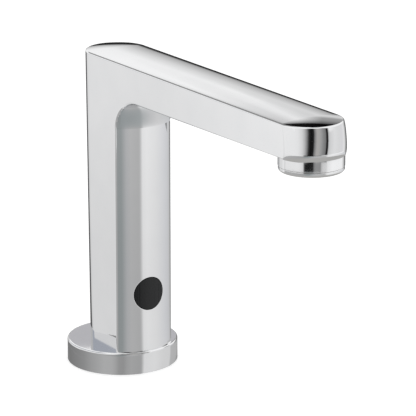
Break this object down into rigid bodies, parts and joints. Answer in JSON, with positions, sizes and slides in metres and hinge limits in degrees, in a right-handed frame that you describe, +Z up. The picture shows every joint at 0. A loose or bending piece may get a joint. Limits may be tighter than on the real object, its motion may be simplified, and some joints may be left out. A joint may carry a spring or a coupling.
{
  "type": "sensor tap",
  "caption": "Deck-mounted sensor tap: round base flange, slim arch-fronted column, flat-topped spout, dark sensor window, aerator and latching solenoid valve inside.",
  "frame": {"origin": "centre of the base flange's underside, midway between the stud holes, on the deck's surface", "axes": "+Z up out of the deck, -Y forward along the spout, +X to the right seen from behind the spout's outlet"},
  "size_m": [0.054, 0.2017, 0.156],
  "materials": {
    "chrome_casting": "bright chrome plating on cast brass",
    "chrome_turned": "bright chrome plating on turned brass",
    "black_rubber": "moulded black rubber",
    "zinc_screw": "stainless screw",
    "stainless": "turned stainless steel",
    "black_moulding": "moulded black nylon",
    "gold_pin": "gold-flashed contact",
    "dark_window": "infrared-clear black acrylic, satin face",
    "seal_rubber": "smooth black O-ring rubber",
    "circuit_board": "green solder mask",
    "clear_lens": "clear epoxy",
    "dark_lens": "dark epoxy",
    "lead_sheath": "black cable sheath",
    "white_moulding": "moulded off-white acetal",
    "blue_moulding": "moulded blue acetal",
    "grey_moulding": "moulded grey acetal",
    "magnet": "nickel-plated magnet",
    "copper_winding": "enamelled copper wire",
    "plain_brass": "machined brass",
    "hose": "translucent white hose"
  },
  "bodies": {
    "tap": {"tap_body": "chrome_casting", "base_flange": "chrome_turned", "base_seal": "black_rubber", "body_screws": "zinc_screw", "support_pillars": "stainless", "pillar_screws": "zinc_screw", "lead_connector": "black_moulding", "connector_pins": "gold_pin", "sensor_window": "dark_window", "sensor_seal": "seal_rubber", "sensor_housing": "black_moulding", "sensor_board": "circuit_board", "emitter_led": "clear_lens", "receiver_diode": "dark_lens", "light_divider": "black_moulding", "sensor_retainer": "stainless", "retainer_screws": "zinc_screw", "sensor_lead": "lead_sheath", "valve_body": "white_moulding", "diaphragm": "black_rubber", "guide_tube": "stainless", "bonnet_ring": "grey_moulding", "plunger_spring": "stainless", "pole_piece": "stainless", "latching_magnet": "magnet", "coil_bobbin": "black_moulding", "coil_winding": "copper_winding", "coil_can": "stainless", "coil_nut": "plain_brass", "coil_lead": "lead_sheath", "inlet_fitting": "plain_brass", "inlet_clip": "stainless", "inlet_filter": "grey_moulding", "check_valve_cage": "white_moulding", "check_valve_spring": "stainless", "riser_tube": "stainless", "riser_seals": "seal_rubber", "waterway_hose": "hose", "hose_seal": "seal_rubber", "outlet_adaptor": "white_moulding", "outlet_seal": "seal_rubber", "aerator_ring": "chrome_turned", "aerator_cartridge": "grey_moulding", "flow_regulator": "seal_rubber", "aerator_washer": "black_rubber", "aerator_screen": "grey_moulding"},
    "plunger": {"plunger": "stainless", "plunger_seal": "seal_rubber"},
    "diaphragm_disc": {"diaphragm_insert": "blue_moulding"},
    "check_poppet": {"check_valve_poppet": "blue_moulding"}
  },
  "joints": [
    {"name": "plunger_lift", "type": "slide", "parent": "tap", "child": "plunger", "axis": [0, 0, -1], "range_m": [0, 0.0022], "stiffness_N_per_m": 120, "springref_m": -0.003, "deforming": ["plunger_spring"]},
    {"name": "diaphragm_lift", "type": "slide", "parent": "tap", "child": "diaphragm_disc", "axis": [0, 0, -1], "range_m": [0, 0.0011], "deforming": ["diaphragm"]},
    {"name": "check_valve_lift", "type": "slide", "parent": "tap", "child": "check_poppet", "axis": [0, 0, 1], "range_m": [0, 0.0013], "stiffness_N_per_m": 60, "springref_m": -0.003, "deforming": ["check_valve_spring"]}
  ],
  "couplings": [
    {"joint": "diaphragm_lift", "follows": "plunger_lift", "ratio": 0.5}
  ]
}
